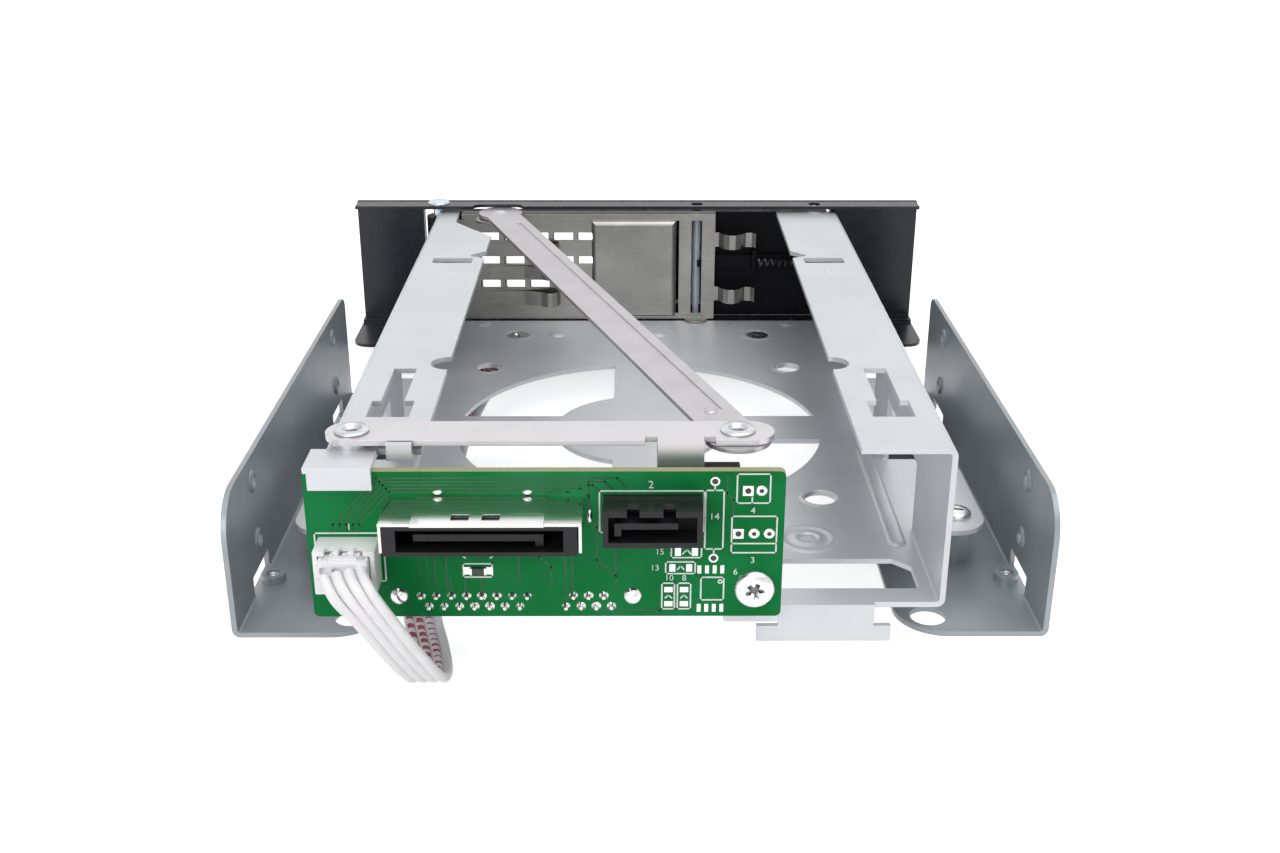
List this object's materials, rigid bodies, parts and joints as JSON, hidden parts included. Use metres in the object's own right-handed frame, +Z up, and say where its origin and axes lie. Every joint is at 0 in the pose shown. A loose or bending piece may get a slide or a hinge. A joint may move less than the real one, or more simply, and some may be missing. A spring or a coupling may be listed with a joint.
{
  "type": "hot swap drive cage",
  "caption": "Open folded-steel cage that holds one 3.5-inch drive in a 5.25-inch bay, with a hinged front door that ejects the drive through a link and lever.",
  "frame": {"origin": "centre of the four threaded bottom holes, on the underside of the two side brackets' feet", "axes": "+Z up, +X towards the door's hinge side, -Y towards the front bezel, +Y towards the rear board"},
  "size_m": [0.148, 0.1794, 0.042],
  "materials": {
    "cage_steel": "bright zinc-plated folded sheet, satin",
    "bracket_steel": "zinc-plated sheet, dull",
    "turned_steel": "turned and plated",
    "screw_zinc": "bright zinc screws and pins",
    "frame_black": "black powder coat, fine grain",
    "bezel_plastic": "moulded, fine texture",
    "spring_steel": "nickel-plated spring steel",
    "link_nickel": "bright nickel plate, satin",
    "board_green": "glass-fibre board under green solder mask",
    "connector_black": "moulded",
    "plug_white": "moulded nylon",
    "ribbon_white": "flat cable jacket",
    "solder": "shiny solder fillets",
    "chip_dark": "chip bodies",
    "light_clear": "clear light lenses"
  },
  "bodies": {
    "cage": {"cage": "cage_steel", "bracket_left": "bracket_steel", "bracket_right": "bracket_steel", "standoffs": "turned_steel", "standoff_screws": "screw_zinc", "bezel_frame": "frame_black", "bezel_screws": "screw_zinc", "front_bezel": "bezel_plastic", "door_hinge_pin": "screw_zinc", "lever_rivet": "turned_steel", "rear_board": "board_green", "board_screw": "screw_zinc", "drive_connector": "connector_black", "power_connector": "connector_black", "power_shield": "cage_steel", "data_connector": "connector_black", "cable_header": "plug_white", "cable_plug": "plug_white", "solder_pins": "solder", "board_parts": "chip_dark", "light_board": "board_green", "light_socket": "plug_white", "status_lights": "light_clear", "ribbon_cable": "ribbon_white"},
    "door": {"door_panel": "bezel_plastic", "door_plate": "spring_steel", "handle_pin": "screw_zinc", "latch_spring": "spring_steel"},
    "handle": {"door_handle": "bezel_plastic"},
    "latch": {"latch_slider": "bezel_plastic"},
    "lever": {"eject_lever": "link_nickel", "pusher_pad": "connector_black", "link_rear_rivet": "turned_steel"},
    "link": {"link_bar": "link_nickel", "link_front_rivet": "turned_steel"}
  },
  "joints": [
    {"name": "door_swing", "type": "hinge", "parent": "cage", "child": "door", "pos_m": [0.0522, -0.092, 0.0247], "axis": [0, 0, 1], "range_deg": [0, 90]},
    {"name": "handle_pull", "type": "hinge", "parent": "door", "child": "handle", "pos_m": [-0.0156, -0.0924, 0.025], "axis": [0, 0, -1], "range_deg": [0, 30], "stiffness_Nm_per_rad": 0.02},
    {"name": "latch_slide", "type": "slide", "parent": "door", "child": "latch", "axis": [1, 0, 0], "range_m": [0, 0.00138], "deforming": ["latch_spring"]},
    {"name": "lever_swing", "type": "hinge", "parent": "cage", "child": "lever", "pos_m": [0.0482, 0.0616, 0.04075], "axis": [0, 0, 1], "range_deg": [0, 23.73]},
    {"name": "link_turn", "type": "hinge", "parent": "lever", "child": "link", "pos_m": [-0.0161, 0.0614, 0.03975], "axis": [0, 0, 1], "range_deg": [-22.61, 0]}
  ],
  "couplings": [
    {"joint": "lever_swing", "follows": "door_swing", "ratio": 0.2636},
    {"joint": "link_turn", "follows": "door_swing", "ratio": -0.2512},
    {"joint": "latch_slide", "follows": "handle_pull", "m_per_rad": 0.00263}
  ]
}
